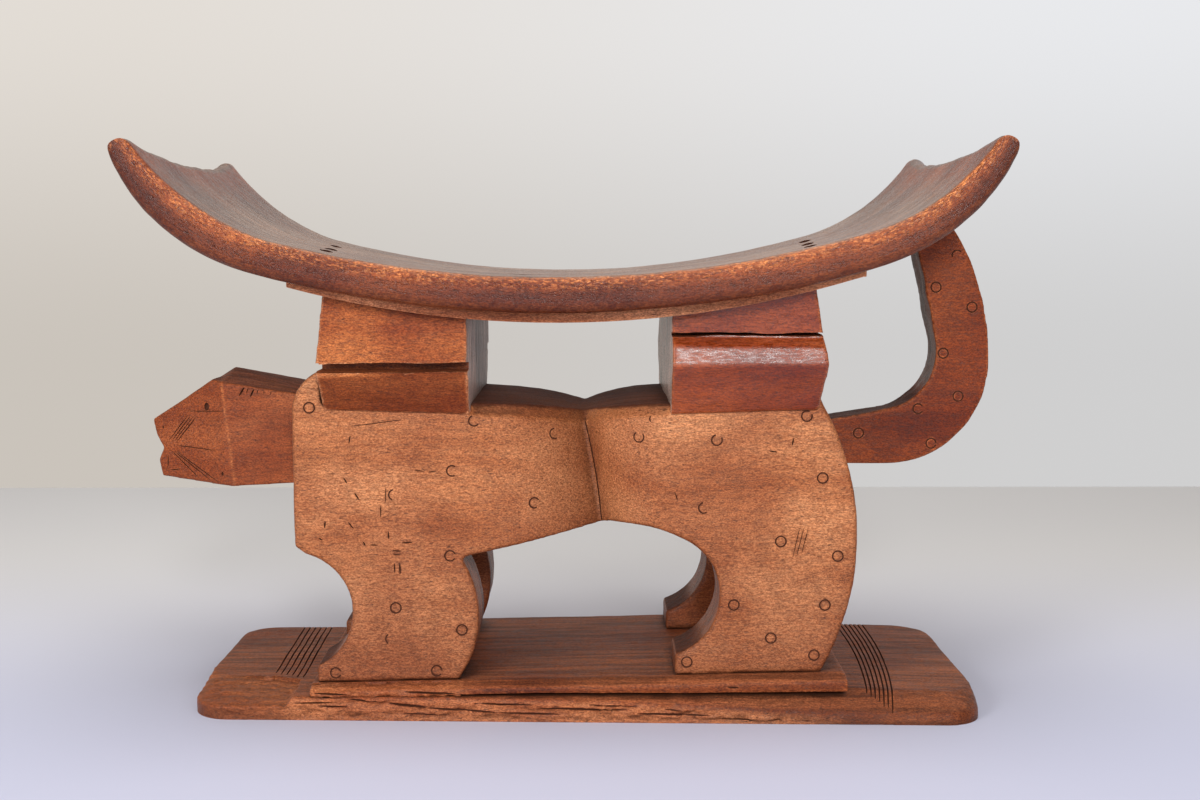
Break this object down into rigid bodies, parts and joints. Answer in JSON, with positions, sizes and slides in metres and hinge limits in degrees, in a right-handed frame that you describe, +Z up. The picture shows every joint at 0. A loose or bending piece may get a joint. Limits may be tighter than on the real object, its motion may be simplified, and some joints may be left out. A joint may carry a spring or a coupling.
{
  "type": "carved stool",
  "caption": "Carved wooden stool: a crescent seat on two posts, held up by a standing four-legged animal with a curled tail, on a plinth and plank.",
  "frame": {"origin": "on the floor, under the middle of the overall box", "axes": "+X along the seat towards the animal's tail, +Y across towards the animal's right side, +Z up"},
  "size_m": [0.5892, 0.276, 0.3846],
  "materials": {
    "base_plank": "satin",
    "plinth": "satin",
    "fore_leg_left": "satin",
    "fore_leg_right": "satin",
    "hind_leg_left": "satin",
    "hind_leg_right": "satin",
    "forequarters": "satin",
    "hindquarters": "satin",
    "head": "satin",
    "tail": "satin",
    "front_post_lower": "satin",
    "front_post_upper": "satin",
    "rear_post_lower": "satin",
    "rear_post_upper": "satin",
    "seat_pad": "satin",
    "seat": "satin"
  },
  "bodies": {
    "root": {"base_plank": "base_plank", "plinth": "plinth", "fore_leg_left": "fore_leg_left", "fore_leg_right": "fore_leg_right", "hind_leg_left": "hind_leg_left", "hind_leg_right": "hind_leg_right", "forequarters": "forequarters", "hindquarters": "hindquarters", "head": "head", "tail": "tail", "front_post_lower": "front_post_lower", "front_post_upper": "front_post_upper", "rear_post_lower": "rear_post_lower", "rear_post_upper": "rear_post_upper", "seat_pad": "seat_pad", "seat": "seat"}
  },
  "joints": []
}
